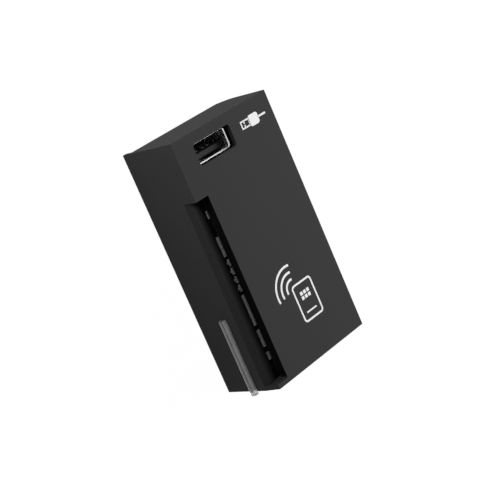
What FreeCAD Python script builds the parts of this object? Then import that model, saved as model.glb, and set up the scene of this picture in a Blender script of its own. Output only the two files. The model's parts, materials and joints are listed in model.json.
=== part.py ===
import FreeCAD, Part
import math
import os

# A small reader and programmer for chip cards, with an upright type-A socket beside the card slot.
# X runs to the right across the front face, Y runs towards the socket end, and Z comes out of the front.
# The origin is the middle of the rear face, which the reader rests on. All sizes are in millimetres.

# Casing
body_width = 37.8
front_wall = 2.55
side_wall = 1.8
end_wall = 1.4
socket_bay_length = 14.0
guide_rib = 1.32
rear_corner_radius = 7.0
rear_corner_inset = 2.8
lip_thickness = 1.3
corner_bevel_width = 0.7
corner_bevel_depth = 5.0

# Rear cover
cover_thickness = 2.5
cover_pocket_depth = 0.9
cover_inset = 0.7
cover_clearance = 0.1
cover_edge_bevel = 0.4
label_recess_length = 22.0
label_recess_width = 20.0
label_recess_depth = 0.3
label_recess_from_dock = 4.0

# The card, and the slot that takes it
card_width = 53.98
contact_pitch = 2.54
first_row_from_card_edge = 20.08
near_column_from_leading_edge = 11.25
far_column_from_leading_edge = 18.87
rows = 4
slot_clearance = 0.2
slot_height = 1.25
mouth_inset = 4.73
card_stop_wall = 1.2
ledge_depth = 1.0
scoop_width = 1.05
scoop_height = 1.25
shelf_width = 4.1
shelf_thickness = 1.6

# Boards
main_board_thickness = 1.2
board_lift = 0.4
card_board_thickness = 1.0
card_board_overhang = 3.8
board_clearance = 0.3
slide_plate_thickness = 0.25
slide_plate_drop = 0.15

# Screws and the bosses that they go into
screw_radius = 1.0
screw_length = 8.0
screw_tip_bevel = 0.3
screw_head_radius = 1.55
screw_head_height = 1.1
screw_head_round = 0.35
screw_head_recess = 0.2
screw_clearance = 0.15
thread_clearance = 0.02
boss_radius = 2.2
boss_merge = 0.2
small_screw_radius = 0.7
small_screw_length = 3.0
small_head_radius = 1.3
small_head_height = 0.8
small_head_round = 0.25
small_screw_from_rib = 1.9
small_screw_from_wall = 3.4
cross_depth_share = 0.65
cross_bar_share = 0.32
cross_arm_share = 1.1

# Upright type-A socket
socket_width = 13.14
socket_thickness = 5.72
socket_height = 14.4
socket_wall = 0.3
socket_corner_radius = 0.9
socket_flare = 0.22
socket_from_left = 13.85
socket_from_end = 6.2
rim_recess = 1.9
window_clearance = 0.58
window_end_clearance = 0.25
window_corner_radius = 0.8
window_wall = 1.45
window_relief = 1.0
insulator_fit = 0.05
insulator_base = 4.0
tongue_width = 11.1
tongue_thickness = 1.84
tongue_from_wall = 0.66
tongue_recess = 1.2
tongue_bevel = 0.3
tongue_groove = 0.35
groove_end = 0.6
socket_contact_offsets = (-3.5, -1.0, 1.0, 3.5)
socket_contact_width = 1.0
socket_contact_thickness = 0.25
socket_contact_crown = 0.72
socket_contact_crown_depth = 2.6
socket_contact_tip_run = 1.6
socket_contact_tip_drop = 0.35
socket_finger_width = 2.2
socket_finger_length = 6.0
socket_finger_from_rim = 1.5
socket_finger_gap = 0.3
socket_finger_bend = 0.35
socket_finger_bend_from_top = 1.6
socket_finger_thickness = 0.24
socket_finger_spacing = 6.2
tail_clearance = 0.1

# Card contacts
strip_thickness = 0.2
strip_width = 0.8
strip_lift = 0.05
crown_rise = 0.5
tip_drop = 0.4
tip_run = 1.3
dip_depth = 0.7
dip_run = 2.0
dip_start = 0.72
tail_start = 0.45
tail_reach = 0.1
tail_bar_width = 0.55
tail_bar_length = 1.9
tail_tab_width = 0.6
tail_jog = 0.65
hinge_inset = 1.15
window_inset = 1.75
far_tail_inset = 0.7
block_clearance = 0.15
block_margin = 2.2
block_depth = 1.45
block_flange = 1.0
block_flange_thickness = 0.3
block_web = 1.0
channel_clearance = 0.2
channel_floor = 0.7

# Card switch
switch_below_slot_top = 7.2
switch_arm = 5.1
switch_tip_run = 1.1
switch_tip_drop = 0.05
switch_crown_rise = 0.45
switch_width = 1.6
switch_pad_thickness = 0.12
switch_pad_length = 1.4
switch_pad_shift = 0.35

# Steel slide plates under the card, with feet that reach the mouth, placed down from the top of the slot
upper_foot_drops = (4.38, 11.98, 15.53)
upper_foot_lengths = (2.1, 3.4, 2.2)
lower_foot_drops = (29.33, 39.88, 46.63)
lower_foot_lengths = (9.1, 5.1, 2.2)
plate_edge_inset = 1.15
plate_block_gap = 0.5
foot_reach = 1.25
narrow_foot_setback = 0.35
rivet_radius = 0.45
rivet_head_radius = 0.7
rivet_head_height = 0.1
rivet_rear_head_height = 0.3
rivet_below_slot_top = 52.0

# Antenna under the front face
antenna_pocket = 0.95
foil_thickness = 0.2
foil_margin = 3.6
foil_far_margin = 1.8
foil_clearance = 0.3
coil_thickness = 0.08
coil_turns = 4
coil_trace = 0.6
coil_gap = 0.5
coil_inset = 1.0
ferrite_thickness = 0.22
ferrite_gap = 0.05
spring_pin_radius = 0.5
spring_pin_tip_radius = 0.3
spring_pin_spacing = 5.0
spring_pin_body = 1.5

# Light pipe on the lower left side, and its lamp
pipe_radius = 1.3
pipe_clearance = 0.04
pipe_overhang = 1.0
pipe_length = 22.95
pipe_from_front = 9.75
pipe_tip_round = 0.5
peg_radius = 0.9
peg_from_pipe_end = 4.0
peg_reach = 1.0
lamp_gap = 0.3
lamp_length = 2.0
lamp_width = 2.6
lamp_height = 2.2
lens_radius = 0.9
lens_length = 0.9
lens_round = 0.45
lamp_leg_radius = 0.2
lamp_leg_spacing = 1.2
spacer_margin = 0.4

# Link between the two boards
link_pitch = 2.54
link_columns = 5
link_ranks = 2
link_header_height = 2.5
link_pin_radius = 0.32
link_pin_point = 0.1
link_pin_clearance = 0.1
link_gap = 0.1
link_pin_reach = 6.0
link_hole_spare = 0.5
link_from_bottom = 10.5

# Host connector in the rear cover
dock_length = 14.0
dock_width = 4.4
dock_corner_radius = 0.6
dock_recess = 0.4
dock_clearance = 0.3
dock_pitch = 2.4
dock_columns = 5
dock_ranks = 2
dock_rank_pitch = 2.0
dock_contact_radius = 0.5
dock_contact_round = 0.13
dock_contact_fit = 0.03
dock_contact_rise = 0.15
dock_from_bottom = 12.0

# Chips: body sizes, and how their leads are made
chip_lift = 0.1
chip_bevel = 0.12
lead_thickness = 0.15
lead_width = 0.27
lead_foot_lift = 0.08
lead_root = 0.1
lead_shoulder_share = 0.4
lead_foot_share = 0.55
fine_pitch = 0.65
controller_size = 7.0
controller_height = 1.4
controller_leads = 10
controller_lead_reach = 1.0
hub_width = 4.0
hub_length = 5.0
hub_height = 1.2
hub_leads = 7
hub_lead_reach = 1.1
surge_width = 1.7
surge_length = 2.9
surge_height = 1.1
surge_leads = 3
surge_pitch = 0.95
surge_lead_reach = 0.6
regulator_width = 3.5
regulator_length = 6.5
regulator_height = 1.6
regulator_leads = 3
regulator_pitch = 2.3
regulator_lead_width = 0.7
regulator_lead_reach = 1.6
radio_size = 6.0
radio_height = 0.95
radio_pad_size = 4.2
radio_pad_height = 0.2
interface_width = 5.3
interface_length = 8.2
interface_height = 1.75
interface_leads = 12
interface_lead_reach = 1.1

# Small parts
crystal_width = 3.2
crystal_length = 2.5
crystal_height = 0.8
crystal_corner_radius = 0.3
inductor_width = 3.2
inductor_length = 2.5
inductor_base_height = 0.5
inductor_core_width = 1.6
inductor_core_length = 1.3
inductor_cap_inset = 0.1
inductor_cap_rise = 1.7
inductor_height = 2.2
winding_thickness = 0.5
winding_corner_radius = 0.4
winding_gap = 0.05
winding_fit = 0.02
bulk_width = 7.3
bulk_length = 4.3
bulk_lift = 0.12
bulk_height = 2.8
bulk_bevel = 0.3
bulk_end_width = 2.4
bulk_end_thickness = 0.3
bulk_end_height = 1.4
chip_block_width = 0.8
chip_block_length = 1.6
capacitor_height = 0.8
resistor_height = 0.45

# Places on the main board: in from the left or the right edge of the board, and down from the socket
controller_from_left = 12.6
controller_down = 26.0
hub_from_left = 10.6
hub_down = 14.0
surge_down = 6.9
crystal_from_left = 16.0
crystal_from_right = 7.4
crystal_low_down = 25.0
regulator_from_right = 4.15
regulator_down = 8.6
bulk_from_right = 4.15
bulk_down = 17.0
radio_from_right = 7.4
radio_down = 34.0
inductor_from_right = 6.6
inductor_spacing = 6.0
inductor_down = 42.0
side_column_from_left = 4.0
side_column_down = 12.0
side_column_step = 2.2
side_column_count = 9
middle_row_from_left = 5.5
middle_row_down = 33.5
lower_row_down = 37.0
row_step = 2.4
middle_row_count = 5
lower_row_count = 4
tuning_row_from_left = 14.75
tuning_row_down = 38.8
tuning_row_count = 2
interface_below_slot_top = 8.0

solder_gap = 0.02
skin = 0.01
overlap = 0.1
past = 1.0

vector = FreeCAD.Vector

# Places that follow from the sizes above
slot_length = card_width + 2 * slot_clearance
body_length = end_wall + slot_length + guide_rib + socket_bay_length + end_wall
main_board_rear = cover_thickness + board_lift
main_board_front = main_board_rear + main_board_thickness
socket_rim = main_board_front + socket_height
front_face = socket_rim + rim_recess
front_inner = front_face - front_wall
slot_floor = front_inner - slot_height
plate_top = slot_floor - slide_plate_drop
card_board_front = plate_top - slide_plate_thickness
card_board_rear = card_board_front - card_board_thickness

left = -body_width / 2
right = body_width / 2
top = body_length / 2
bottom = -body_length / 2
left_inner = left + side_wall
right_inner = right - side_wall
right_inner_rear = right - rear_corner_inset - side_wall
top_inner = top - end_wall
bottom_inner = bottom + end_wall
board_left = left_inner + board_clearance
board_right = right_inner_rear - board_clearance
slot_bottom = bottom_inner
slot_top = slot_bottom + slot_length
rib_top = slot_top + guide_rib
mouth = left + mouth_inset
card_stop = right_inner - card_stop_wall
corner_drop = math.sqrt(rear_corner_radius ** 2 - (rear_corner_radius - rear_corner_inset) ** 2)
corner_start = cover_thickness + corner_drop

pipe_height = front_face - pipe_from_front
pipe_end = bottom - pipe_overhang
pipe_start = pipe_end + pipe_length
peg_y = pipe_start - peg_from_pipe_end

screw_seat = screw_head_recess + screw_head_height
post_radius = boss_radius - boss_merge - cover_clearance

socket_x = left + socket_from_left
socket_y = top - socket_from_end

first_row = slot_top - slot_clearance - first_row_from_card_edge
row_places = [first_row - i * contact_pitch for i in range(rows)]
last_row = row_places[-1]
near_crown = card_stop - near_column_from_leading_edge
far_crown = card_stop - far_column_from_leading_edge

board_window_left = mouth + window_inset
far_hinge = card_stop - far_tail_inset - hinge_inset
board_window_right = far_hinge - (window_inset - hinge_inset)
mouth_hinge = mouth + hinge_inset
strip_middle = card_board_front + strip_lift + strip_thickness / 2
block_left = board_window_left + block_clearance
block_right = board_window_right - block_clearance
block_top = first_row + block_margin
block_bottom = last_row - block_margin
block_rear = card_board_rear - block_depth
block_front = slot_floor - solder_gap
web_middle = (near_crown + far_crown) / 2
chip_seat = main_board_front + solder_gap


def block(x0, x1, y0, y1, z0, z1):
    return Part.makeBox(x1 - x0, y1 - y0, z1 - z0, vector(x0, y0, z0))


def centred_block(x, y, width, length, z0, z1):
    return block(x - width / 2, x + width / 2, y - length / 2, y + length / 2, z0, z1)


def upright_rod(x, y, z0, z1, radius):
    return Part.makeCylinder(radius, z1 - z0, vector(x, y, z0), vector(0, 0, 1))


def face_of(points):
    return Part.Face(Part.makePolygon(points + [points[0]]))


def join(shapes):
    whole = shapes[0]
    if len(shapes) > 1:
        whole = whole.fuse(shapes[1:])
    return whole.removeSplitter()


def upright_edges(shape):
    chosen = []
    for edge in shape.Edges:
        box = edge.BoundBox
        if box.ZLength > skin and box.XLength < skin and box.YLength < skin:
            chosen.append(edge)
    return chosen


def edges_at_height(shape, height):
    chosen = []
    for edge in shape.Edges:
        box = edge.BoundBox
        if abs(box.ZMin - height) < skin / 2 and abs(box.ZMax - height) < skin / 2:
            chosen.append(edge)
    return chosen


def rounded_block(x, y, width, length, z0, z1, radius):
    whole = centred_block(x, y, width, length, z0, z1)
    return whole.makeFillet(radius, upright_edges(whole))


def bent_strip(path, thickness, width, middle, along):
    """A flat strip of sheet metal that follows a path of (along, height) points, centred on middle."""
    sides = ([], [])
    for i, (s, z) in enumerate(path):
        before = path[max(i - 1, 0)]
        after = path[min(i + 1, len(path) - 1)]
        turn_in = math.atan2(z - before[1], s - before[0])
        turn_out = math.atan2(after[1] - z, after[0] - s)
        if i == 0:
            turn_in = turn_out
        if i == len(path) - 1:
            turn_out = turn_in
        heading = (turn_in + turn_out) / 2
        reach = thickness / 2 / math.cos((turn_out - turn_in) / 2)
        for side, sign in zip(sides, (1, -1)):
            side.append((s - sign * reach * math.sin(heading), z + sign * reach * math.cos(heading)))
    outline = sides[0] + sides[1][::-1]
    if along == "x":
        points = [vector(s, middle - width / 2, z) for s, z in outline]
        return face_of(points).extrude(vector(0, width, 0))
    points = [vector(middle - width / 2, s, z) for s, z in outline]
    return face_of(points).extrude(vector(width, 0, 0))


def grid_places(columns, ranks, pitch, rank_pitch, middle_y):
    places = []
    for i in range(columns):
        for j in range(ranks):
            x = (i - (columns - 1) / 2) * pitch
            places.append((x, middle_y + (j - (ranks - 1) / 2) * rank_pitch))
    return places


def boss_places():
    left_boss = left_inner + boss_radius - boss_merge
    right_boss = right_inner_rear - boss_radius + boss_merge
    top_boss = top_inner - boss_radius + boss_merge
    bottom_boss = bottom_inner + boss_radius - boss_merge
    return [(x, y) for y in (top_boss, bottom_boss) for x in (left_boss, right_boss)]


def small_screw_places():
    y = rib_top + small_screw_from_rib
    return [(mouth + small_screw_from_wall, y), (card_stop - small_screw_from_wall, y)]


def spring_pin_places():
    y = rib_top + small_screw_from_rib
    return [(-spring_pin_spacing / 2, y), (spring_pin_spacing / 2, y)]


def dock_places():
    middle_y = bottom_inner + dock_from_bottom
    return grid_places(dock_columns, dock_ranks, dock_pitch, dock_rank_pitch, middle_y)


def link_places():
    return grid_places(link_columns, link_ranks, link_pitch, link_pitch, bottom_inner + link_from_bottom)


def lamp_place():
    return left_inner + peg_reach + lamp_gap + lens_length + lamp_length / 2, peg_y


def lamp_leg_places():
    x, y = lamp_place()
    return [(x, y - lamp_leg_spacing / 2), (x, y + lamp_leg_spacing / 2)]


def casing_profile():
    centre = vector(right - rear_corner_radius, bottom, corner_start)
    half_turn = math.asin(corner_drop / rear_corner_radius) / 2
    arc_middle = centre + vector(math.cos(half_turn), 0, -math.sin(half_turn)) * rear_corner_radius
    corners = [
        vector(left, bottom, cover_thickness),
        vector(left, bottom, front_face),
        vector(right, bottom, front_face),
        vector(right, bottom, corner_start),
    ]
    arc_end = vector(right - rear_corner_inset, bottom, cover_thickness)
    edges = [Part.LineSegment(a, b).toShape() for a, b in zip(corners, corners[1:])]
    edges.append(Part.Arc(corners[-1], arc_middle, arc_end).toShape())
    edges.append(Part.LineSegment(arc_end, corners[0]).toShape())
    return Part.Face(Part.Wire(edges))


def card_mouth_cut():
    """The open notch in the front left edge, with its sloping outer edge and the slot behind it."""
    notch = block(left - past, mouth, slot_bottom, slot_top, slot_floor, front_face + past)
    scoop = face_of([
        vector(left, slot_bottom, slot_floor - scoop_height),
        vector(left - past, slot_bottom, slot_floor - scoop_height),
        vector(left - past, slot_bottom, slot_floor + overlap),
        vector(left + scoop_width, slot_bottom, slot_floor + overlap),
        vector(left + scoop_width, slot_bottom, slot_floor),
    ]).extrude(vector(0, slot_length, 0))
    slot = block(mouth - overlap, card_stop, slot_bottom, slot_top, slot_floor, front_inner)
    return join([notch, scoop, slot])


def end_bevel():
    """The lower end wall leans in a little at the front left corner."""
    return face_of([
        vector(left - past, bottom - past, front_face - corner_bevel_depth),
        vector(left, bottom - past, front_face - corner_bevel_depth),
        vector(left + corner_bevel_width, bottom - past, front_face),
        vector(left + corner_bevel_width, bottom - past, front_face + past),
        vector(left - past, bottom - past, front_face + past),
    ]).extrude(vector(0, end_wall + past, 0))


def socket_window_cut():
    """The window over the socket, and the relief behind it that leaves a thinner wall around the rim."""
    opening = rounded_block(
        socket_x, socket_y, socket_width + 2 * window_clearance, socket_thickness + 2 * window_end_clearance,
        front_inner - past, front_face + past, window_corner_radius)
    relief = centred_block(
        socket_x, socket_y, socket_width + 2 * (window_clearance + window_relief),
        socket_thickness + 2 * (window_end_clearance + window_relief),
        front_inner - past, front_face - window_wall)
    return join([opening, relief])


def front_shell():
    outer = casing_profile().extrude(vector(0, body_length, 0))
    lip = block(left, left + lip_thickness, bottom, top, 0, cover_thickness)
    front_room = block(left_inner, right_inner, bottom_inner, top_inner, corner_start, front_inner)
    rear_room = block(
        left_inner, right_inner_rear, bottom_inner, top_inner, cover_thickness - past, corner_start)
    shell = outer.fuse(lip).cut([front_room, rear_room])

    # Shelf under the mouth, and the walls that guide and stop the card
    shelf_rear = slot_floor - shelf_thickness
    shelf = block(left, left + shelf_width, slot_bottom, rib_top, shelf_rear, slot_floor)
    upper_guide = block(left, right_inner, slot_top, rib_top, card_board_front, front_inner)
    upper_guide_end = block(left, left + shelf_width, slot_top, rib_top, shelf_rear, front_inner)
    stop = block(card_stop, right, slot_bottom, slot_top, card_board_front, front_inner)
    ledge = block(
        mouth + window_inset, card_stop, slot_bottom, slot_bottom + ledge_depth, card_board_front, slot_floor)

    bosses = []
    for x, y in boss_places():
        highest = front_inner if y > 0 else card_board_rear - board_clearance
        bosses.append(upright_rod(x, y, main_board_front, highest, boss_radius))
    for x, y in small_screw_places():
        bosses.append(upright_rod(x, y, card_board_front, front_inner, boss_radius))
    shell = shell.fuse([shelf, upper_guide, upper_guide_end, stop, ledge] + bosses)

    cuts = [card_mouth_cut(), end_bevel(), socket_window_cut()]
    cuts.append(block(
        mouth + foil_margin, card_stop - foil_far_margin, slot_bottom + foil_margin, rib_top + foil_margin,
        front_inner - skin, front_inner + antenna_pocket))
    cuts.append(Part.makeCylinder(
        pipe_radius + pipe_clearance, pipe_start + pipe_clearance - bottom + past,
        vector(left, bottom - past, pipe_height), vector(0, 1, 0)))
    cuts.append(Part.makeCylinder(
        peg_radius + pipe_clearance, side_wall + past, vector(left, peg_y, pipe_height), vector(1, 0, 0)))
    for x, y in boss_places():
        highest = screw_seat + screw_length + board_clearance
        cuts.append(upright_rod(x, y, main_board_front - past, highest, screw_radius + thread_clearance))
    for x, y in small_screw_places():
        highest = card_board_rear + small_screw_length + board_clearance
        cuts.append(upright_rod(
            x, y, card_board_front - past, highest, small_screw_radius + thread_clearance))
    return shell.cut(cuts).removeSplitter()


def rear_cover():
    cover_left = left + lip_thickness + cover_clearance
    cover_right = right - rear_corner_inset - cover_inset
    pocket_floor = cover_thickness - cover_pocket_depth
    plate = block(cover_left, cover_right, bottom + cover_inset, top - cover_inset, 0, cover_thickness)
    plate = plate.makeChamfer(cover_edge_bevel, edges_at_height(plate, 0))
    plate = plate.cut(block(
        left_inner, right_inner_rear, bottom_inner, top_inner, pocket_floor, cover_thickness + past))
    posts = []
    cuts = []
    for x, y in boss_places():
        posts.append(upright_rod(x, y, pocket_floor - overlap, main_board_rear, post_radius))
        cuts.append(upright_rod(x, y, -past, main_board_rear + past, screw_radius + screw_clearance))
        cuts.append(upright_rod(x, y, -past, screw_seat, screw_head_radius + screw_clearance))
    dock_y = bottom_inner + dock_from_bottom
    cuts.append(centred_block(
        0, dock_y, dock_length + 2 * dock_clearance, dock_width + 2 * dock_clearance,
        -past, cover_thickness + past))
    label_y = dock_y + dock_width / 2 + dock_clearance + label_recess_from_dock + label_recess_length / 2
    cuts.append(centred_block(
        0, label_y, label_recess_width, label_recess_length, -past, label_recess_depth))
    return plate.fuse(posts).cut(cuts).removeSplitter()


def cross_recess(x, y, head_face, head_height, radius):
    """A cross slot in a screw head that looks towards the rear."""
    bar = radius * cross_bar_share
    arm = radius * cross_arm_share
    low = head_face - overlap
    high = head_face + head_height * cross_depth_share
    return [centred_block(x, y, arm, bar, low, high), centred_block(x, y, bar, arm, low, high)]


def rear_cover_screws():
    screws = []
    tip = screw_seat + screw_length
    for x, y in boss_places():
        head = upright_rod(x, y, screw_head_recess, screw_seat, screw_head_radius)
        head = head.makeFillet(screw_head_round, edges_at_height(head, screw_head_recess))
        shank = upright_rod(x, y, screw_seat - overlap, tip, screw_radius)
        shank = shank.makeChamfer(screw_tip_bevel, edges_at_height(shank, tip))
        recess = cross_recess(x, y, screw_head_recess, screw_head_height, screw_head_radius)
        screws.append(join([head, shank]).cut(recess))
    return Part.makeCompound(screws)


def card_board_screws():
    screws = []
    head_face = card_board_rear - small_head_height
    for x, y in small_screw_places():
        head = upright_rod(x, y, head_face, card_board_rear, small_head_radius)
        head = head.makeFillet(small_head_round, edges_at_height(head, head_face))
        tip = card_board_rear + small_screw_length
        shank = upright_rod(x, y, card_board_rear - overlap, tip, small_screw_radius)
        recess = cross_recess(x, y, head_face, small_head_height, small_head_radius)
        screws.append(join([head, shank]).cut(recess))
    return Part.makeCompound(screws)


def light_pipe():
    """The rod's axis lies on the left face, so half of it stands proud."""
    rod = Part.makeCylinder(pipe_radius, pipe_length, vector(left, pipe_end, pipe_height), vector(0, 1, 0))
    tip = [e for e in rod.Edges if e.BoundBox.YMax < pipe_end + skin]
    rod = rod.makeFillet(pipe_tip_round, tip)
    peg = Part.makeCylinder(
        peg_radius, side_wall + peg_reach, vector(left, peg_y, pipe_height), vector(1, 0, 0))
    return join([rod, peg])


def lamp_spacer():
    x, y = lamp_place()
    whole = centred_block(
        x, y, lamp_length + 2 * spacer_margin, lamp_width + 2 * spacer_margin,
        main_board_front, pipe_height - lamp_height / 2)
    hole_radius = lamp_leg_radius + tail_clearance
    holes = [upright_rod(leg_x, leg_y, main_board_front - past, pipe_height, hole_radius)
             for leg_x, leg_y in lamp_leg_places()]
    return whole.cut(holes)


def status_lamp():
    x, y = lamp_place()
    lamp_rear = pipe_height - lamp_height / 2
    lamp_front = pipe_height + lamp_height / 2
    body = centred_block(x, y, lamp_length, lamp_width, lamp_rear + solder_gap, lamp_front)
    lens_tip_x = x - lamp_length / 2 - lens_length
    lens = Part.makeCylinder(
        lens_radius, lens_length + lamp_length / 2, vector(x, y, pipe_height), vector(-1, 0, 0))
    lens = lens.makeFillet(lens_round, [e for e in lens.Edges if e.BoundBox.XMax < lens_tip_x + skin])
    legs = [upright_rod(leg_x, leg_y, main_board_rear - board_lift / 2, lamp_rear + overlap, lamp_leg_radius)
            for leg_x, leg_y in lamp_leg_places()]
    return join([body, lens] + legs)


def socket_tab_places():
    reach = (socket_width - socket_wall) / 2
    return [(socket_x - reach, socket_y), (socket_x + reach, socket_y)]


def main_board():
    board = block(
        board_left, board_right, bottom_inner + board_clearance, top_inner - board_clearance,
        main_board_rear, main_board_front)
    low = main_board_rear - past
    high = main_board_front + past
    cuts = [upright_rod(x, y, low, high, screw_radius + screw_clearance) for x, y in boss_places()]
    cuts += [upright_rod(x, y, low, high, lamp_leg_radius + tail_clearance) for x, y in lamp_leg_places()]
    for offset in socket_contact_offsets:
        cuts.append(centred_block(
            socket_x + offset, contact_root_y(), socket_contact_width + 2 * tail_clearance,
            socket_contact_thickness + 4 * tail_clearance, low, high))
    for x, y in socket_tab_places():
        cuts.append(centred_block(
            x, y, socket_wall + 2 * tail_clearance, socket_finger_width + 2 * tail_clearance, low, high))
    return board.cut(cuts)


def tongue_face_y():
    """The tongue lies near the wall away from the end of the casing, and its contacts look the other way."""
    return socket_y - socket_thickness / 2 + socket_wall + tongue_from_wall + tongue_thickness


def contact_root_y():
    return tongue_face_y() - tongue_groove + socket_contact_thickness / 2 + 2 * tail_clearance


def usb_socket_shell():
    outer = rounded_block(
        socket_x, socket_y, socket_width, socket_thickness, main_board_front, socket_rim,
        socket_corner_radius)
    inner = rounded_block(
        socket_x, socket_y, socket_width - 2 * socket_wall, socket_thickness - 2 * socket_wall,
        main_board_front - past, socket_rim, socket_corner_radius - socket_wall)
    flare = rounded_block(
        socket_x, socket_y, socket_width - 2 * (socket_wall - socket_flare),
        socket_thickness - 2 * (socket_wall - socket_flare), socket_rim - socket_flare, socket_rim,
        socket_corner_radius - socket_wall + socket_flare)
    flare = flare.makeChamfer(socket_flare - skin, edges_at_height(flare, socket_rim - socket_flare))
    finger_top = socket_rim - socket_finger_from_rim
    finger_bottom = finger_top - socket_finger_length
    cuts = [inner, flare]
    fingers = []
    for side in (-1, 1):
        wall_y = socket_y + side * (socket_thickness - socket_wall) / 2
        path = [
            (wall_y, finger_bottom - overlap),
            (wall_y - side * socket_finger_bend, finger_top - socket_finger_bend_from_top),
            (wall_y, finger_top - socket_finger_gap),
        ]
        for offset in (-socket_finger_spacing / 2, socket_finger_spacing / 2):
            cuts.append(centred_block(
                socket_x + offset, wall_y, socket_finger_width + 2 * socket_finger_gap, 2 * socket_wall,
                finger_bottom, finger_top))
            fingers.append(bent_strip(
                path, socket_finger_thickness, socket_finger_width, socket_x + offset, "y"))
    for x, y in socket_tab_places():
        fingers.append(centred_block(
            x, y, socket_wall, socket_finger_width,
            main_board_rear - board_lift / 2, main_board_front + overlap))
    return join([outer.cut(cuts)] + fingers)


def usb_socket_insulator():
    base_top = main_board_front + insulator_base
    base = rounded_block(
        socket_x, socket_y, socket_width - 2 * (socket_wall + insulator_fit),
        socket_thickness - 2 * (socket_wall + insulator_fit), main_board_front, base_top,
        socket_corner_radius - socket_wall - insulator_fit)
    tongue_y = tongue_face_y() - tongue_thickness / 2
    tongue_top = socket_rim - tongue_recess
    tongue = centred_block(
        socket_x, tongue_y, tongue_width, tongue_thickness, base_top - overlap, tongue_top)
    tongue = tongue.makeChamfer(tongue_bevel, edges_at_height(tongue, tongue_top))
    cuts = []
    for offset in socket_contact_offsets:
        x = socket_x + offset
        half = socket_contact_width / 2 + tail_clearance
        groove_floor = tongue_face_y() - tongue_groove
        cuts.append(block(
            x - half, x + half, groove_floor, groove_floor + tongue_groove + past,
            main_board_front - past, tongue_top - groove_end))
    return join([base, tongue]).cut(cuts).removeSplitter()


def usb_socket_contacts():
    root = contact_root_y()
    crown_height = socket_rim - tongue_recess - socket_contact_crown_depth
    path = [
        (root, main_board_rear - board_lift / 2),
        (root, main_board_front + insulator_base),
        (root + socket_contact_crown, crown_height),
        (root + socket_contact_crown - socket_contact_tip_drop, crown_height + socket_contact_tip_run),
    ]
    strips = []
    for offset in socket_contact_offsets:
        strips.append(bent_strip(
            path, socket_contact_thickness, socket_contact_width, socket_x + offset, "y"))
    return Part.makeCompound(strips)


def card_board():
    low = card_board_rear - past
    high = card_board_front + past
    board = block(
        left + shelf_width + board_clearance, right_inner - board_clearance,
        bottom_inner + board_clearance, rib_top + card_board_overhang, card_board_rear, card_board_front)
    cuts = [block(
        board_window_left, board_window_right, block_bottom - block_clearance, block_top + block_clearance,
        low, high)]
    screw_hole = small_screw_radius + screw_clearance
    cuts += [upright_rod(x, y, low, high, screw_hole) for x, y in small_screw_places()]
    cuts += [upright_rod(x, y, low, high, link_pin_radius + link_pin_clearance) for x, y in link_places()]
    cuts += [upright_rod(x, y, low, high, rivet_radius + thread_clearance) for x, y in rivet_places()]
    return board.cut(cuts)


def card_contact_block():
    body = block(block_left, block_right, block_bottom, block_top, block_rear, block_front)
    flange = block(
        block_left + block_flange, block_right - block_flange, block_bottom - block_flange,
        block_top + block_flange, card_board_front, card_board_front + block_flange_thickness)
    cuts = []
    half = strip_width / 2 + channel_clearance
    low = block_rear + channel_floor
    high = block_front + past
    for y in row_places:
        cuts.append(block(block_left - past, web_middle - block_web / 2, y - half, y + half, low, high))
        cuts.append(block(web_middle + block_web / 2, block_right + past, y - half, y + half, low, high))
    return join([body, flange]).cut(cuts).removeSplitter()


def contact_path(tail_x, hinge_x, crown_x):
    """Tail on the board, a dip into the channel, a long rise to the crown, and a short tip that falls."""
    way = 1 if crown_x > tail_x else -1
    return [
        (tail_x, strip_middle),
        (hinge_x + way * dip_start, strip_middle),
        (hinge_x + way * dip_run, strip_middle - dip_depth),
        (crown_x, slot_floor + crown_rise - strip_thickness / 2),
        (crown_x + way * tip_run, slot_floor - tip_drop),
    ]


def mouth_card_contacts():
    """Each spring ends in a flat tail across the mouth, with a tab that reaches out to its edge."""
    contacts = []
    bar_left = mouth + tail_start
    bar_right = bar_left + tail_bar_width
    low = strip_middle - strip_thickness / 2
    high = strip_middle + strip_thickness / 2
    path = contact_path(bar_left + overlap, mouth_hinge, far_crown)
    for y in row_places:
        strip = bent_strip(path, strip_thickness, strip_width, y, "x")
        bar_y = y + tail_jog
        half_bar = tail_bar_length / 2
        half_tab = tail_tab_width / 2
        bar = block(bar_left, bar_right, bar_y - half_bar, bar_y + half_bar, low, high)
        tab = block(mouth - tail_reach, bar_left + overlap, bar_y - half_tab, bar_y + half_tab, low, high)
        contacts.append(join([strip, bar, tab]))
    return Part.makeCompound(contacts)


def far_card_contacts():
    path = contact_path(card_stop - far_tail_inset, far_hinge, near_crown)
    return Part.makeCompound([bent_strip(path, strip_thickness, strip_width, y, "x") for y in row_places])


def switch_y():
    return slot_top - switch_below_slot_top


def switch_tip_x():
    return far_hinge - switch_arm - switch_tip_run


def card_switch_leaf():
    crown_z = slot_floor + switch_crown_rise - strip_thickness / 2
    path = [
        (card_stop - far_tail_inset, strip_middle),
        (far_hinge, strip_middle),
        (far_hinge - switch_arm, crown_z),
        (switch_tip_x(), crown_z - switch_tip_drop),
    ]
    return bent_strip(path, strip_thickness, switch_width, switch_y(), "x")


def card_switch_contact():
    return centred_block(
        switch_tip_x() + switch_pad_shift, switch_y(), switch_pad_length, switch_width,
        card_board_front, card_board_front + switch_pad_thickness)


def plate_left():
    return mouth + foot_reach


def plate_feet(drops, lengths, setbacks):
    feet = []
    for drop, length, setback in zip(drops, lengths, setbacks):
        foot_top = slot_top - drop
        feet.append(block(
            mouth + setback, plate_left() + overlap, foot_top - length, foot_top,
            card_board_front, plate_top))
    return feet


def upper_slide_plate():
    plate = block(
        plate_left(), switch_tip_x() - switch_pad_length, block_top + block_flange + plate_block_gap,
        slot_top - plate_edge_inset, card_board_front, plate_top)
    return join([plate] + plate_feet(upper_foot_drops, upper_foot_lengths, (narrow_foot_setback, 0, 0)))


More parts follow.
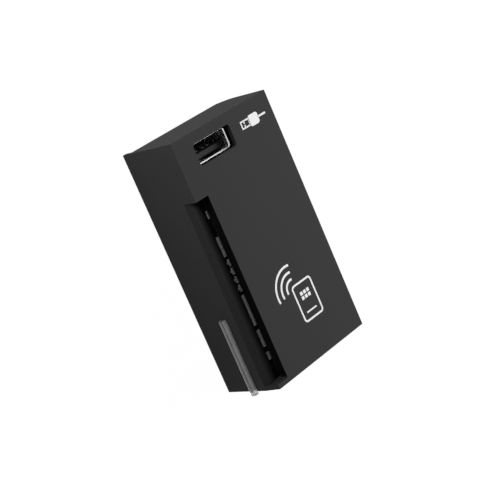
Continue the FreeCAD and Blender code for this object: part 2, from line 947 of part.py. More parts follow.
def lower_slide_plate():
    plate = block(
        plate_left(), card_stop - plate_edge_inset, slot_bottom + ledge_depth + plate_edge_inset / 2,
        block_bottom - block_flange - plate_block_gap, card_board_front, plate_top)
    holes = [upright_rod(x, y, card_board_front - past, plate_top + past, rivet_radius + thread_clearance)
             for x, y in rivet_places()]
    return join([plate] + plate_feet(lower_foot_drops, lower_foot_lengths, (0, 0, 0))).cut(holes)


def rivet_places():
    low = slot_top - rivet_below_slot_top
    high = block_bottom - block_flange - plate_block_gap - 2 * rivet_head_radius
    inner = plate_left() + 2 * rivet_head_radius
    outer = card_stop - plate_edge_inset - 2 * rivet_head_radius
    return [(inner, low), (outer, low), (inner, high), (outer, high)]


def slide_plate_rivets():
    rivets = []
    rear_head_face = card_board_rear - rivet_rear_head_height
    for x, y in rivet_places():
        head = upright_rod(x, y, plate_top, plate_top + rivet_head_height, rivet_head_radius)
        shank = upright_rod(x, y, rear_head_face, plate_top + rivet_head_height, rivet_radius)
        rear_head = upright_rod(x, y, rear_head_face, card_board_rear, rivet_head_radius)
        rivets.append(join([head, shank, rear_head]))
    return Part.makeCompound(rivets)


def foil_bounds():
    """Left, right, bottom and top of the antenna foil in its pocket under the front face."""
    return (
        mouth + foil_margin + foil_clearance, card_stop - foil_far_margin - foil_clearance,
        slot_bottom + foil_margin + foil_clearance, rib_top + foil_margin - foil_clearance)


def foil_rear():
    return front_inner + antenna_pocket - foil_thickness


def antenna_foil():
    x0, x1, y0, y1 = foil_bounds()
    foil = block(x0, x1, y0, y1, foil_rear(), foil_rear() + foil_thickness)
    holes = [upright_rod(x, y, foil_rear() - past, front_face, boss_radius + foil_clearance)
             for x, y in small_screw_places()]
    return foil.cut(holes)


def antenna_coil():
    """A flat rectangular spiral, wound inwards from the outer turn."""
    x0, x1, y0, y1 = foil_bounds()
    low = foil_rear() - coil_thickness
    high = foil_rear()
    step = coil_trace + coil_gap
    legs = []
    for turn in range(coil_turns):
        inset = coil_inset + turn * step
        west = x0 + inset
        east = x1 - inset
        south = y0 + inset
        north = slot_top - inset
        legs.append(block(west, east, north - coil_trace, north, low, high))
        legs.append(block(east - coil_trace, east, south, north, low, high))
        legs.append(block(west, east, south, south + coil_trace, low, high))
        legs.append(block(west, west + coil_trace, south, north - step, low, high))
        if turn < coil_turns - 1:
            legs.append(block(
                west, west + step + coil_trace, north - step - coil_trace, north - step, low, high))
    return join(legs)


def ferrite_sheet():
    x0, x1, y0, y1 = foil_bounds()
    highest = foil_rear() - coil_thickness - ferrite_gap
    return block(x0, x1, y0, slot_top - coil_inset / 2, highest - ferrite_thickness, highest)


def antenna_spring_pins():
    pins = []
    body_top = card_board_front + spring_pin_body
    for x, y in spring_pin_places():
        body = upright_rod(x, y, card_board_front, body_top, spring_pin_radius)
        tip = upright_rod(x, y, body_top - overlap, foil_rear(), spring_pin_tip_radius)
        pins.append(join([body, tip]))
    return Part.makeCompound(pins)


def link_body(low, high, hole_low, hole_radius):
    body = centred_block(
        0, bottom_inner + link_from_bottom, link_columns * link_pitch, link_ranks * link_pitch, low, high)
    return body.cut([upright_rod(x, y, hole_low, high + past, hole_radius) for x, y in link_places()])


def link_header():
    low = card_board_rear - link_header_height
    return link_body(low, card_board_rear, low - past, link_pin_radius + thread_clearance)


def link_socket():
    high = card_board_rear - link_header_height - link_gap
    hole_low = high - link_pin_reach - link_hole_spare
    return link_body(main_board_front, high, hole_low, link_pin_radius + link_pin_clearance)


def link_pins():
    pins = []
    lowest = card_board_rear - link_header_height - link_gap - link_pin_reach
    for x, y in link_places():
        pin = upright_rod(x, y, lowest, card_board_front - link_gap, link_pin_radius)
        pins.append(pin.makeChamfer(link_pin_point, edges_at_height(pin, lowest)))
    return Part.makeCompound(pins)


def dock_connector():
    body = rounded_block(
        0, bottom_inner + dock_from_bottom, dock_length, dock_width, dock_recess, main_board_rear,
        dock_corner_radius)
    holes = [upright_rod(x, y, -past, main_board_rear + past, dock_contact_radius + dock_contact_fit)
             for x, y in dock_places()]
    return body.cut(holes)


def dock_contacts():
    contacts = []
    lowest = dock_recess - dock_contact_rise
    for x, y in dock_places():
        pin = upright_rod(x, y, lowest, main_board_rear, dock_contact_radius)
        contacts.append(pin.makeFillet(dock_contact_round, edges_at_height(pin, lowest)))
    return Part.makeCompound(contacts)


def from_left(across, down):
    return board_left + across, socket_y - down


def from_right(across, down):
    return board_right - across, socket_y - down


def chip_body(x, y, width, length, height):
    body = centred_block(x, y, width, length, chip_seat + chip_lift, chip_seat + height)
    return body.makeChamfer(chip_bevel, edges_at_height(body, chip_seat + height))


def lead_path(edge, side, reach, height):
    """A lead that leaves a chip's edge halfway up, and bends down and out to a flat foot."""
    foot = chip_seat + lead_foot_lift
    return [
        (edge - side * lead_root, chip_seat + height / 2),
        (edge + side * reach * lead_shoulder_share, chip_seat + height / 2),
        (edge + side * reach * lead_foot_share, foot),
        (edge + side * reach, foot),
    ]


def side_leads(x, y, width, height, leads, pitch, reach, lead_breadth, along):
    strips = []
    across, run = (x, y) if along == "x" else (y, x)
    for i in range(leads):
        middle = run + (i - (leads - 1) / 2) * pitch
        for side in (-1, 1):
            path = lead_path(across + side * width / 2, side, reach, height)
            strips.append(bent_strip(path, lead_thickness, lead_breadth, middle, along))
    return strips


def microcontroller():
    x, y = from_left(controller_from_left, controller_down)
    parts = [chip_body(x, y, controller_size, controller_size, controller_height)]
    for along in ("x", "y"):
        parts += side_leads(
            x, y, controller_size, controller_height, controller_leads, fine_pitch, controller_lead_reach,
            lead_width, along)
    return join(parts)


def hub_chip():
    x, y = from_left(hub_from_left, hub_down)
    leads = side_leads(x, y, hub_width, hub_height, hub_leads, fine_pitch, hub_lead_reach, lead_width, "x")
    return join([chip_body(x, y, hub_width, hub_length, hub_height)] + leads)


def surge_chip():
    x = socket_x
    y = socket_y - surge_down
    leads = side_leads(
        x, y, surge_width, surge_height, surge_leads, surge_pitch, surge_lead_reach, lead_width, "x")
    return join([chip_body(x, y, surge_width, surge_length, surge_height)] + leads)


def voltage_regulator():
    x, y = from_right(regulator_from_right, regulator_down)
    leads = side_leads(
        x, y, regulator_width, regulator_height, regulator_leads, regulator_pitch, regulator_lead_reach,
        regulator_lead_width, "x")
    return join([chip_body(x, y, regulator_width, regulator_length, regulator_height)] + leads)


def radio_chip():
    x, y = from_right(radio_from_right, radio_down)
    pad = centred_block(x, y, radio_pad_size, radio_pad_size, chip_seat, chip_seat + radio_pad_height)
    return join([chip_body(x, y, radio_size, radio_size, radio_height), pad])


def card_interface_chip():
    """The chip hangs under the card board, so it is built standing on the main board and turned over."""
    y = slot_top - interface_below_slot_top
    leads = side_leads(
        0, y, interface_width, interface_height, interface_leads, fine_pitch, interface_lead_reach,
        lead_width, "x")
    chip = join([chip_body(0, y, interface_width, interface_length, interface_height)] + leads)
    turned = chip.mirror(vector(0, 0, chip_seat), vector(0, 0, 1))
    turned.translate(vector(0, 0, card_board_rear - solder_gap - chip_seat))
    return turned


def crystals():
    places = [from_left(crystal_from_left, hub_down), from_right(crystal_from_right, crystal_low_down)]
    cans = [rounded_block(
        x, y, crystal_width, crystal_length, chip_seat, chip_seat + crystal_height, crystal_corner_radius)
        for x, y in places]
    return Part.makeCompound(cans)


def inductor_places():
    x, y = from_right(inductor_from_right, inductor_down)
    return [(x - inductor_spacing, y), (x, y)]


def matching_inductors():
    coils = []
    base_top = chip_seat + inductor_base_height
    cap_rear = chip_seat + inductor_cap_rise
    for x, y in inductor_places():
        base = centred_block(x, y, inductor_width, inductor_length, chip_seat, base_top)
        core = centred_block(
            x, y, inductor_core_width, inductor_core_length, base_top - overlap, cap_rear + overlap)
        cap = centred_block(
            x, y, inductor_width - 2 * inductor_cap_inset, inductor_length - 2 * inductor_cap_inset,
            cap_rear, chip_seat + inductor_height)
        coils.append(join([base, core, cap]))
    return Part.makeCompound(coils)


def inductor_windings():
    windings = []
    low = chip_seat + inductor_base_height + winding_gap
    high = chip_seat + inductor_cap_rise - winding_gap
    for x, y in inductor_places():
        outer = rounded_block(
            x, y, inductor_core_width + 2 * winding_thickness, inductor_core_length + 2 * winding_thickness,
            low, high, winding_corner_radius)
        inner = centred_block(
            x, y, inductor_core_width + 2 * winding_fit, inductor_core_length + 2 * winding_fit,
            low - past, high + past)
        windings.append(outer.cut(inner))
    return Part.makeCompound(windings)


def bulk_capacitor():
    x, y = from_right(bulk_from_right, bulk_down)
    body = centred_block(x, y, bulk_width, bulk_length, chip_seat + bulk_lift, chip_seat + bulk_height)
    body = body.makeChamfer(bulk_bevel, edges_at_height(body, chip_seat + bulk_height))
    ends = [centred_block(
        x + side * bulk_width / 2, y, bulk_end_thickness, bulk_end_width,
        chip_seat, chip_seat + bulk_end_height)
        for side in (-1, 1)]
    return join([body] + ends)


def side_column():
    return [from_left(side_column_from_left, side_column_down + side_column_step * i)
            for i in range(side_column_count)]


def across_row(from_edge, down, count):
    return [from_left(from_edge + row_step * i, down) for i in range(count)]


def chip_blocks(places, height):
    return Part.makeCompound([
        centred_block(x, y, chip_block_width, chip_block_length, chip_seat, chip_seat + height)
        for x, y in places])


def ceramic_capacitors():
    column = [place for i, place in enumerate(side_column()) if i % 2 == 0]
    middle_row = across_row(middle_row_from_left, middle_row_down, middle_row_count)
    tuning_row = across_row(tuning_row_from_left, tuning_row_down, tuning_row_count)
    return chip_blocks(column + middle_row + tuning_row, capacitor_height)


def chip_resistors():
    column = [place for i, place in enumerate(side_column()) if i % 2 == 1]
    lower_row = across_row(middle_row_from_left, lower_row_down, lower_row_count)
    return chip_blocks(column + lower_row, resistor_height)


def build_all():
    os.makedirs("parts", exist_ok=True)
    makers = [
        front_shell, rear_cover, rear_cover_screws, light_pipe, lamp_spacer, status_lamp, main_board,
        usb_socket_shell, usb_socket_insulator, usb_socket_contacts, card_board, card_board_screws,
        card_contact_block, mouth_card_contacts, far_card_contacts, card_switch_leaf, card_switch_contact,
        upper_slide_plate, lower_slide_plate, slide_plate_rivets, antenna_foil, antenna_coil, ferrite_sheet,
        antenna_spring_pins, link_header, link_pins, link_socket, dock_connector, dock_contacts,
        microcontroller, hub_chip, surge_chip, voltage_regulator, radio_chip, card_interface_chip, crystals,
        matching_inductors, inductor_windings, bulk_capacitor, ceramic_capacitors, chip_resistors,
    ]
    for maker in makers:
        shape = maker()
        shape.exportStep("parts/" + maker.__name__ + ".step")
        print(maker.__name__, len(shape.Solids), "solids", round(shape.Volume, 3), "mm3", shape.isValid())


build_all()
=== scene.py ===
# A small black reader for chip cards, with an upright type-A socket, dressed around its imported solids.
import bmesh
import bpy
import json
import math
from mathutils import Matrix, Vector


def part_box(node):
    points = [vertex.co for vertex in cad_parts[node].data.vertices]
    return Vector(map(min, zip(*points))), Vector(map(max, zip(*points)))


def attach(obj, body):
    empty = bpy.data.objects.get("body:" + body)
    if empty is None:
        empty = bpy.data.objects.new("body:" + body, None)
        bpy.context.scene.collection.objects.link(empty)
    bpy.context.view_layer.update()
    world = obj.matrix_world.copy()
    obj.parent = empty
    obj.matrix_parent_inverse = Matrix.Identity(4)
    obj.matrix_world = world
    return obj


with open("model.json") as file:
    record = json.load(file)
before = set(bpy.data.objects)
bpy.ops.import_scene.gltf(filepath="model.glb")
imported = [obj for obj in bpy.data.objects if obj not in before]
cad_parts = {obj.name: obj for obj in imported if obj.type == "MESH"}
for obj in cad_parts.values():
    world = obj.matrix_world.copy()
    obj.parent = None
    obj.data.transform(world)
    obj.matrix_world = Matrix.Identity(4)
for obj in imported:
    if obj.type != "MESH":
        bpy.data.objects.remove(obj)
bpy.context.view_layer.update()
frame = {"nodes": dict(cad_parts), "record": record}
nodes = frame["nodes"]
mm = 0.001
print("frame loaded with", len(nodes), "nodes")


# Camera: where the photograph was taken from, and which way is up in it
camera = {
    "place": (-0.250871, 0.0895996, 0.3077204),
    "right": (0.6449415, -0.3893937, 0.6575884),
    "up": (0.4377181, 0.8935538, 0.0998225),
    "lens": 107.629,
    "sensor": 36.0,
    "clip": (0.01, 20.0),
}


def setCamera():
    data = bpy.data.cameras.new("photoCamera")
    data.lens = camera["lens"]
    data.sensor_width = camera["sensor"]
    data.clip_start, data.clip_end = camera["clip"]
    eye = bpy.data.objects.new("photoCamera", data)
    bpy.context.scene.collection.objects.link(eye)
    right = Vector(camera["right"]).normalized()
    up = Vector(camera["up"])
    up = (up - right * up.dot(right)).normalized()
    turn = Matrix((right, up, right.cross(up))).transposed()
    eye.matrix_world = Matrix.Translation(Vector(camera["place"])) @ turn.to_4x4()
    bpy.context.scene.camera = eye


setCamera()
bpy.context.scene.view_settings.view_transform = "Standard"
print("camera set")


# Shader tools
class Wire:                                    # an output of a node that Python's operators can work on
    def __init__(self, paint, socket):
        self.paint = paint
        self.socket = socket

    def maths(self, operation, first, second):
        return self.paint.node("ShaderNodeMath", {"operation": operation}, {0: first, 1: second})

    def __add__(self, other):
        return self.maths("ADD", self, other)

    def __radd__(self, other):
        return self.maths("ADD", other, self)

    def __sub__(self, other):
        return self.maths("SUBTRACT", self, other)

    def __rsub__(self, other):
        return self.maths("SUBTRACT", other, self)

    def __mul__(self, other):
        return self.maths("MULTIPLY", self, other)

    def __rmul__(self, other):
        return self.maths("MULTIPLY", other, self)

    def __truediv__(self, other):
        return self.maths("DIVIDE", self, other)

    def __rtruediv__(self, other):
        return self.maths("DIVIDE", other, self)

    def __pow__(self, other):
        return self.maths("POWER", self, other)


class Paint:                                   # the nodes of a material, or of the world
    def __init__(self, owner):
        self.owner = owner
        self.owner.use_nodes = True
        self.tree = owner.node_tree
        self.tree.nodes.clear()

    def node(self, kind, settings, inputs, output=0):
        made = self.tree.nodes.new(kind)
        for key, value in settings.items():
            setattr(made, key, value)
        for key, value in inputs.items():
            if isinstance(value, Wire):
                self.tree.links.new(value.socket, made.inputs[key])
            else:
                made.inputs[key].default_value = value
        return Wire(self, made.outputs[output]) if len(made.outputs) else None

    def place(self):
        return self.node("ShaderNodeTexCoord", {}, {}, "Object")

    def apart(self):                           # x, y and z in millimetres
        split = self.node("ShaderNodeSeparateXYZ", {}, {0: self.place()})
        outputs = split.socket.node.outputs
        return [Wire(self, outputs[i]) / mm for i in range(3)]

    def ramp(self, value, start, end):         # 0 at start, 1 at end, held beyond them
        return self.node("ShaderNodeMapRange", {"clamp": True}, {
            "Value": value, "From Min": start, "From Max": end, "To Min": 0.0, "To Max": 1.0})

    def stretched(self, scale):
        return self.node("ShaderNodeMapping", {}, {"Vector": self.place(), "Scale": scale})

    def noise(self, perMetre, detail, at=None):
        return self.node("ShaderNodeTexNoise", {}, {
            "Vector": at or self.place(), "Scale": perMetre, "Detail": detail, "Roughness": 0.55})

    def blend(self, mask, first, second):
        return self.node("ShaderNodeMix", {"data_type": "RGBA"}, {0: mask, 6: first, 7: second}, 2)

    def bump(self, height, distance, strength):
        return self.node("ShaderNodeBump", {}, {"Height": height, "Distance": distance, "Strength": strength})

    def principled(self, inputs):
        return self.node("ShaderNodeBsdfPrincipled", {}, inputs)

    def show(self, shader):
        self.node("ShaderNodeOutputMaterial", {}, {"Surface": shader})
        return self.owner


def newPaint(name):
    return Paint(bpy.data.materials.new(name))


def grey(value):
    return (value, value, value, 1.0)


# Moulded plastics
plastics = {
    "shellPlastic": {"dark": 0.022, "light": 0.027, "roughness": 0.74, "specular": 0.09},
    "coverPlastic": {"dark": 0.021, "light": 0.025, "roughness": 0.7, "specular": 0.1},
    "mouldedNylon": {"dark": 0.010, "light": 0.015, "roughness": 0.5, "specular": 0.07},
    "chipResin": {"dark": 0.026, "light": 0.036, "roughness": 0.62, "specular": 0.35},
    "ferrite": {"dark": 0.075, "light": 0.11, "roughness": 0.7, "specular": 0.35},
}
plasticGrain = {
    "grain": (9000.0, 2.0),                    # spark-eroded grain, about a tenth of a millimetre
    "cloud": (120.0, 3.0),
    "grainRough": 0.05, "cloudRough": 0.06, "depth": 0.000004, "strength": 0.5,
}

# The notch's floor and front wall carry painted light and shade: painted light at the floor's outer edge,
# deepening into painted shade towards the front wall. Its lengths are in millimetres, and run inward from the
# casing's sides.
notchPaintedShading = {
    "inset": 5.0, "edge": 0.1, "start": 1.15, "reach": 4.4, "drop": 5.3, "soft": 0.7, "end": 16.9,
    "foot": 1.6, "paintedLit": 0.17, "dark": 0.004, "fade": 1.2, "roughness": 0.6,
}


def plasticInputs(paint, looks):
    grain = paint.noise(*plasticGrain["grain"])
    cloud = paint.noise(*plasticGrain["cloud"])
    unevenness = (cloud - 0.5) * plasticGrain["cloudRough"] + (grain - 0.5) * plasticGrain["grainRough"]
    return {
        "Base Color": paint.blend(cloud, grey(looks["dark"]), grey(looks["light"])),
        "Roughness": looks["roughness"] + unevenness,
        "Specular IOR Level": looks["specular"],
        "Normal": paint.bump(grain, plasticGrain["depth"], plasticGrain["strength"]),
    }


def makePlastic(name):
    paint = newPaint(name)
    return paint.show(paint.principled(plasticInputs(paint, plastics[name])))


# Two values from 0 to 1: whether a point is in the notch, on its floor or front wall, where the painted shade
# goes, and how near the outer edge it is, where the painted light goes
def notchShadeMask(paint):
    low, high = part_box("front_shell")
    across, along, up = paint.apart()
    left, bottom, front, top = low[0] / mm, low[1] / mm, high[2] / mm, high[1] / mm
    edge = notchPaintedShading["edge"]
    inner = left + notchPaintedShading["inset"]
    start = left + notchPaintedShading["start"]
    deepest = front - notchPaintedShading["drop"]
    head = top - notchPaintedShading["end"]
    foot = bottom + notchPaintedShading["foot"]
    sides = paint.ramp(across, inner, inner - edge) * paint.ramp(across, start - edge, start)
    depth = paint.ramp(up, deepest, deepest + notchPaintedShading["soft"]) * paint.ramp(up, front, front - edge)
    ends = paint.ramp(along, head + edge, head) * paint.ramp(along, foot, foot + edge)
    return sides * depth * ends, paint.ramp(across, left + notchPaintedShading["reach"], start)


def makeShellPlastic():
    paint = newPaint("shellPlastic")
    shell = paint.principled(plasticInputs(paint, plastics["shellPlastic"]))
    mask, outward = notchShadeMask(paint)
    paintedLit = outward ** notchPaintedShading["fade"]
    # painted shade in the notch, paling to painted light at the floor's outer edge
    paintedShade = paint.principled({
        "Base Color": paint.blend(paintedLit, grey(notchPaintedShading["dark"]), grey(notchPaintedShading["paintedLit"])),
        "Roughness": notchPaintedShading["roughness"],
        "Specular IOR Level": 0.0,
    })
    return paint.show(paint.node("ShaderNodeMixShader", {}, {0: mask, 1: shell, 2: paintedShade}))


# Metals
metals = {
    "zincSteel": {
        "dark": (0.42, 0.43, 0.45, 1), "light": (0.62, 0.63, 0.65, 1), "roughness": 0.3, "metal": 1.0,
    },
    "brightSteel": {
        "dark": (0.80, 0.80, 0.80, 1), "light": (0.92, 0.92, 0.92, 1), "roughness": 0.2, "metal": 0.85,
        "rim": (0.4, 0.3), "shade": (0.8, 1.4), "roughRim": 0.4,
    },
    "satinSteel": {
        "dark": (0.66, 0.66, 0.66, 1), "light": (0.80, 0.80, 0.80, 1), "roughness": 0.45, "metal": 0.3,
        "underWallShade": (0.45, 1.0),
    },
    "tinnedBronze": {
        "dark": (0.62, 0.62, 0.60, 1), "light": (0.78, 0.78, 0.75, 1), "roughness": 0.42, "metal": 0.4,
        "underWallShade": (0.6, 1.3),
    },
    "giltBrass": {
        "dark": (0.76, 0.55, 0.20, 1), "light": (0.90, 0.70, 0.34, 1), "roughness": 0.2, "metal": 1.0,
    },
    "copper": {
        "dark": (0.60, 0.25, 0.13, 1), "light": (0.80, 0.38, 0.22, 1), "roughness": 0.32, "metal": 1.0,
    },
    "crystalCan": {
        "dark": (0.62, 0.61, 0.58, 1), "light": (0.78, 0.77, 0.74, 1), "roughness": 0.26, "metal": 1.0,
    },
}
# Grain of the metals; its darkest grey is the painted shade where metal runs in under the front wall
metalGrain = {
    "brushed": (900.0, 9000.0, 9000.0), "brushedDetail": 3.0, "cloud": (400.0, 2.0), "brushedShare": 0.6,
    "brushedRough": 0.16, "depth": 0.000003, "strength": 0.4, "shadeTone": 0.03,
}


def makeMetal(name):
    looks = metals[name]
    paint = newPaint(name)
    brushed = paint.noise(1.0, metalGrain["brushedDetail"], paint.stretched(metalGrain["brushed"]))
    cloud = paint.noise(*metalGrain["cloud"])
    share = metalGrain["brushedShare"]
    colour = paint.blend(brushed * share + cloud * (1 - share), looks["dark"], looks["light"])
    roughness = looks["roughness"] + (brushed - 0.5) * metalGrain["brushedRough"]
    if "underWallShade" in looks:                        # painted shade where the metal runs in under the front wall
        start, end = [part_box("lower_slide_plate")[0][0] / mm + inward for inward in looks["underWallShade"]]
        colour = paint.blend(paint.ramp(paint.apart()[0], start, end), colour, grey(metalGrain["shadeTone"]))
    if "rim" in looks:                         # the cut edge of the socket's mouth is rougher than the sheet
        along, up = paint.apart()[1:]
        end, top = [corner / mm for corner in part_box("usb_socket_shell")[1][1:]]
        lower = paint.ramp(along, end - looks["shade"][0], end - looks["shade"][1])
        edge = paint.ramp(up, top - looks["rim"][0], top - looks["rim"][1])
        roughness = roughness + edge * lower * looks["roughRim"]
    return paint.show(paint.principled({
        "Base Color": colour,
        "Metallic": looks["metal"],
        "Roughness": roughness,
        "Normal": paint.bump(brushed, metalGrain["depth"], metalGrain["strength"]),
    }))


# Light pipe: painted light on its front side, painted shade on its rear with a thin painted dark line between
# them, and a painted highlight that makes it palest below the casing
pipeLooks = {
    "front": 0.56, "rear": 0.28, "line": 0.1, "tip": 1.0, "lineFrom": 0.45, "lineTo": 0.75, "tipEnd": 0.2,
    "streaks": (3000.0, 200.0, 3000.0), "detail": 2.0, "roughness": 0.03, "streakRough": 0.06,
    "clear": 0.5, "index": 1.49,
}


def makeClearPlastic():
    paint = newPaint("clearPlastic")
    streaks = paint.noise(1.0, pipeLooks["detail"], paint.stretched(pipeLooks["streaks"]))
    low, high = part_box("light_pipe")
    middle = (low[2] + high[2]) / 2 / mm
    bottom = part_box("front_shell")[0][1] / mm
    along, up = paint.apart()[1:]
    # painted light on the rod's front side and painted shade on its rear
    front = paint.ramp(up, middle + pipeLooks["lineFrom"], middle + pipeLooks["lineTo"])
    # painted highlight where the rod comes out below the casing
    tip = paint.ramp(along, bottom + pipeLooks["tipEnd"], bottom - pipeLooks["tipEnd"])
    shadeLine = front * (1.0 - front) * 4.0       # 1 halfway up the ramp, 0 at its ends
    sides = paint.blend(front, grey(pipeLooks["rear"]), grey(pipeLooks["front"]))
    rod = paint.blend(shadeLine, sides, grey(pipeLooks["line"]))
    return paint.show(paint.principled({
        "Base Color": paint.blend(tip, rod, grey(pipeLooks["tip"])),
        "Roughness": pipeLooks["roughness"] + streaks * pipeLooks["streakRough"],
        "Transmission Weight": pipeLooks["clear"],
        "IOR": pipeLooks["index"],
    }))


# Resins, laminates, small parts' bodies and ink
bodies = {
    "lampResin": {"dark": (0.55, 0.60, 0.56, 1), "light": (0.68, 0.72, 0.68, 1), "roughness": 0.3},
    "boardLaminate": {"dark": (0.008, 0.010, 0.009, 1), "light": (0.016, 0.019, 0.017, 1), "roughness": 0.28},
    "polyimideFilm": {"dark": (0.36, 0.15, 0.02, 1), "light": (0.46, 0.21, 0.04, 1), "roughness": 0.24},
    "tantalumCase": {"dark": (0.55, 0.33, 0.05, 1), "light": (0.66, 0.42, 0.08, 1), "roughness": 0.5},
    "capacitorBody": {"dark": (0.38, 0.26, 0.16, 1), "light": (0.52, 0.38, 0.26, 1), "roughness": 0.5},
    "resistorBody": {"dark": (0.02, 0.02, 0.025, 1), "light": (0.04, 0.04, 0.05, 1), "roughness": 0.35},
    "signInk": {"dark": grey(0.90), "light": grey(0.94), "roughness": 0.6, "specular": 0.2},
}
bodyGrain = {"cloud": (900.0, 3.0), "rough": 0.1, "specular": 0.5, "depth": 0.000005, "strength": 0.4}


def makeBody(name):
    looks = bodies[name]
    paint = newPaint(name)
    cloud = paint.noise(*bodyGrain["cloud"])
    return paint.show(paint.principled({
        "Base Color": paint.blend(cloud, looks["dark"], looks["light"]),
        "Roughness": looks["roughness"] + (cloud - 0.5) * bodyGrain["rough"],
        "Specular IOR Level": looks.get("specular", bodyGrain["specular"]),
        "Normal": paint.bump(cloud, bodyGrain["depth"], bodyGrain["strength"]),
    }))


made = {"shellPlastic": makeShellPlastic(), "clearPlastic": makeClearPlastic()}
made.update({name: makePlastic(name) for name in plastics if name not in made})
made.update({name: makeMetal(name) for name in metals})
made.update({name: makeBody(name) for name in bodies})

finishOf = {                                   # the record's slot names, against the finishes made above
    "shell_plastic": "shellPlastic", "cover_plastic": "coverPlastic", "zinc_steel": "zincSteel",
    "clear_plastic": "clearPlastic", "lamp_resin": "lampResin", "moulded_nylon": "mouldedNylon",
    "board_laminate": "boardLaminate", "stamped_steel": "satinSteel", "tinned_bronze": "tinnedBronze",
    "gilt_brass": "giltBrass", "polyimide_film": "polyimideFilm", "copper": "copper", "ferrite": "ferrite",
    "chip_resin": "chipResin", "crystal_can": "crystalCan", "tantalum_case": "tantalumCase",
    "capacitor_body": "capacitorBody", "resistor_body": "resistorBody",
}

for part in frame["record"]["subparts"]:
    mesh = nodes[part["node"]].data
    mesh.materials.clear()
    bright = part["node"] == "usb_socket_shell"    # plated brighter than the slide plates of the same steel
    mesh.materials.append(made["brightSteel" if bright else finishOf[part["material_slot"]]])
print("materials made:", len(made))


# Printing on the front face, in millimetres across and along it
inkLayer = {"thick": 0.02, "bite": 0.004, "cornerSteps": 6, "arcSteps": 24, "mitre": 0.3, "weld": 0.001}
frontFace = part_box("front_shell")[1][2] / mm


class Ink:                                     # flat printed shapes, gathered into one piece
    def __init__(self, name):
        self.name = name
        self.shape = bmesh.new()

    def outline(self, points):
        height = frontFace - inkLayer["bite"]
        corners = [self.shape.verts.new((x * mm, y * mm, height * mm)) for x, y in points]
        self.shape.faces.new(corners)

    def line(self, points, width, closed=False):
        count = len(points)
        edges = []
        for i in range(count):
            before = Vector(points[i - 1] if closed or i else points[0])
            after = Vector(points[(i + 1) % count] if closed or i < count - 1 else points[-1])
            here = Vector(points[i])
            inward = (here - before).normalized() if (here - before).length else (after - here).normalized()
            outward = (after - here).normalized() if (after - here).length else inward
            way = (inward + outward).normalized()
            side = Vector((-way.y, way.x)) * (width / 2 / max(inkLayer["mitre"], way.dot(inward)))
            edges.append((here - side, here + side))
        runs = count if closed else count - 1
        for i in range(runs):
            low, high = edges[i], edges[(i + 1) % count]
            self.outline([low[0], low[1], high[1], high[0]])

    def square(self, middle, size):
        half = size / 2
        self.outline(rectangle((middle[0] - half, middle[1] - half), (middle[0] + half, middle[1] + half)))

    def piece(self):
        bmesh.ops.remove_doubles(self.shape, verts=self.shape.verts, dist=inkLayer["weld"] * mm)
        bmesh.ops.recalc_face_normals(self.shape, faces=self.shape.faces)
        grown = bmesh.ops.extrude_face_region(self.shape, geom=self.shape.faces[:])
        lifted = [item for item in grown["geom"] if isinstance(item, bmesh.types.BMVert)]
        bmesh.ops.translate(self.shape, verts=lifted, vec=(0, 0, (inkLayer["thick"] + inkLayer["bite"]) * mm))
        bmesh.ops.recalc_face_normals(self.shape, faces=self.shape.faces)
        mesh = bpy.data.meshes.new(self.name)
        self.shape.to_mesh(mesh)
        self.shape.free()
        mesh.materials.append(made["signInk"])
        sign = bpy.data.objects.new(self.name, mesh)
        bpy.context.scene.collection.objects.link(sign)
        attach(sign, "reader")


def arc(middle, radius, low, high, steps):     # points from one angle to the other, in degrees
    angles = [math.radians(low + (high - low) * i / steps) for i in range(steps + 1)]
    return [(middle[0] + radius * math.cos(angle), middle[1] + radius * math.sin(angle)) for angle in angles]


def rectangle(low, high, rounding=0.0):
    if not rounding:
        return [(low[0], low[1]), (high[0], low[1]), (high[0], high[1]), (low[0], high[1])]
    left, right = low[0] + rounding, high[0] - rounding
    lower, upper = low[1] + rounding, high[1] - rounding
    points = []
    middles = ((left, lower), (right, lower), (right, upper), (left, upper))
    for turn, middle in zip((180, 270, 0, 90), middles):
        points += arc(middle, rounding, turn, turn + 90, inkLayer["cornerSteps"])
    return points


# A plug in outline beside the socket: its shell with two pins, its body and a stub of cord
plugSign = {
    "shell": {"from": (6.2, 29.75), "to": (9.3, 31.65), "line": 0.4},
    "body": {"from": (9.3, 29.1), "to": (13.1, 32.3), "round": 0.8},
    "cord": {"from": (13.0, 30.7), "to": (16.0, 30.7), "line": 0.55},
    "pins": {"places": ((7.4, 31.1), (7.4, 30.3)), "size": 0.45},
}


def makePlugSign():
    ink = Ink("plug_sign")
    shell, body, cord, pins = [plugSign[key] for key in ("shell", "body", "cord", "pins")]
    ink.line(rectangle(shell["from"], shell["to"]), shell["line"], True)
    ink.outline(rectangle(body["from"], body["to"], body["round"]))
    ink.line([cord["from"], cord["to"]], cord["line"])
    for middle in pins["places"]:
        ink.square(middle, pins["size"])
    ink.piece()


# A card with its contact pads and a bar, beside three arcs
cardSign = {
    "card": {"middle": (3.5, -20.25), "size": (7.6, 10.6), "round": 0.9, "line": 0.55},
    "pads": {"middle": (3.5, -18.6), "size": 1.0, "step": 1.35, "across": 3, "down": 2},
    "bar": {"from": (1.4, -23.4), "to": (5.6, -23.4), "line": 0.45},
    "arcs": {"middle": (0.4, -15.4), "radii": (2.6, 4.6, 6.6), "line": 0.65, "low": 78.0, "high": 192.0},
}


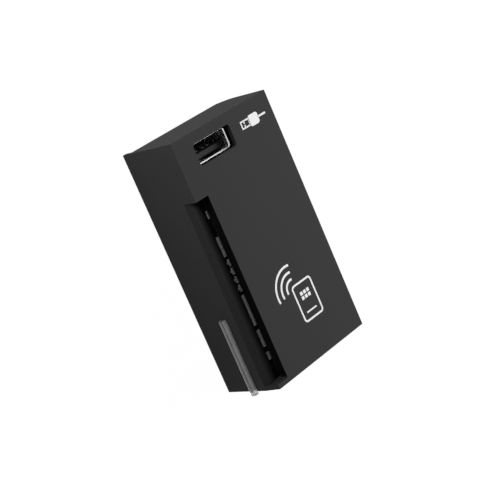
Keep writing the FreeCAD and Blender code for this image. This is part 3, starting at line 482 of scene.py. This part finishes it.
def makeCardSign():
    ink = Ink("card_sign")
    card, pads, bar, arcs = [cardSign[key] for key in ("card", "pads", "bar", "arcs")]
    low = [card["middle"][i] - card["size"][i] / 2 for i in range(2)]
    high = [card["middle"][i] + card["size"][i] / 2 for i in range(2)]
    ink.line(rectangle(low, high, card["round"]), card["line"], True)
    for i in range(pads["across"]):
        for j in range(pads["down"]):
            x = pads["middle"][0] + (i - (pads["across"] - 1) / 2) * pads["step"]
            y = pads["middle"][1] + (j - (pads["down"] - 1) / 2) * pads["step"]
            ink.square((x, y), pads["size"])
    ink.line([bar["from"], bar["to"]], bar["line"])
    for radius in arcs["radii"]:
        points = arc(arcs["middle"], radius, arcs["low"], arcs["high"], inkLayer["arcSteps"])
        ink.line(points, arcs["line"])
    ink.piece()


makePlugSign()
makeCardSign()
print("signs printed")


# Lamps, floor and the white around the object
studio = {
    "floor": 3.0,
    "gap": 0.00005,                            # keeps the floor off the rear face
    "chalk": 0.9,
    "sky": 0.05,
    "glow": 0.97,
    "white": 1.02,
    "lamps": {
        "keyLamp": {"place": (0.95, -0.1, 0.5), "aim": (0, 0, 0.01), "size": 0.6, "watts": 20.0},
        "fillLamp": {"place": (-0.13, 0.11, 0.04), "aim": (0, 0.02, 0.01), "size": 0.08, "watts": 0.15},
    },
}


def seenRays(paint):                           # 1 for what the camera sees, also by way of metal or glass
    rays = paint.node("ShaderNodeLightPath", {}, {}).socket.node.outputs
    straight, glossy, through = [
        Wire(paint, rays[name]) for name in ("Is Camera Ray", "Is Glossy Ray", "Is Transmission Ray")]
    return straight + glossy + through


def makeSky():
    world = bpy.data.worlds.new("studioSky")
    bpy.context.scene.world = world
    paint = Paint(world)
    level = paint.blend(seenRays(paint), grey(studio["sky"]), grey(1.0))
    glow = paint.node("ShaderNodeBackground", {}, {"Color": level, "Strength": 1.0})
    paint.node("ShaderNodeOutputWorld", {}, {"Surface": glow})


def hangLamp(name):
    lamp = studio["lamps"][name]
    data = bpy.data.lights.new(name, "AREA")
    data.size = lamp["size"]
    data.energy = lamp["watts"]
    holder = bpy.data.objects.new(name, data)
    bpy.context.scene.collection.objects.link(holder)
    holder.visible_camera = False
    holder.location = lamp["place"]
    aim = Vector(lamp["aim"]) - Vector(lamp["place"])
    holder.rotation_euler = aim.to_track_quat("-Z", "Y").to_euler()


def layFloor():                                # white from above, and not there when seen from below
    shape = bmesh.new()
    bmesh.ops.create_grid(shape, x_segments=1, y_segments=1, size=studio["floor"])
    mesh = bpy.data.meshes.new("studioFloor")
    shape.to_mesh(mesh)
    shape.free()
    floor = bpy.data.objects.new("studioFloor", mesh)
    bpy.context.scene.collection.objects.link(floor)
    paint = newPaint("floorWhite")
    chalk = paint.node("ShaderNodeBsdfDiffuse", {}, {"Color": grey(studio["chalk"])})
    glow = paint.node("ShaderNodeEmission", {}, {"Color": grey(1.0), "Strength": studio["white"]})
    share = seenRays(paint) * studio["glow"]
    above = paint.node("ShaderNodeMixShader", {}, {0: share, 1: chalk, 2: glow})
    under = paint.node("ShaderNodeNewGeometry", {}, {}, "Backfacing")
    clear = paint.node("ShaderNodeBsdfTransparent", {}, {})
    mesh.materials.append(paint.show(paint.node("ShaderNodeMixShader", {}, {0: under, 1: above, 2: clear})))
    floor.location.z = -studio["gap"]


makeSky()
for name in studio["lamps"]:
    hangLamp(name)
layFloor()
print("studio lit")
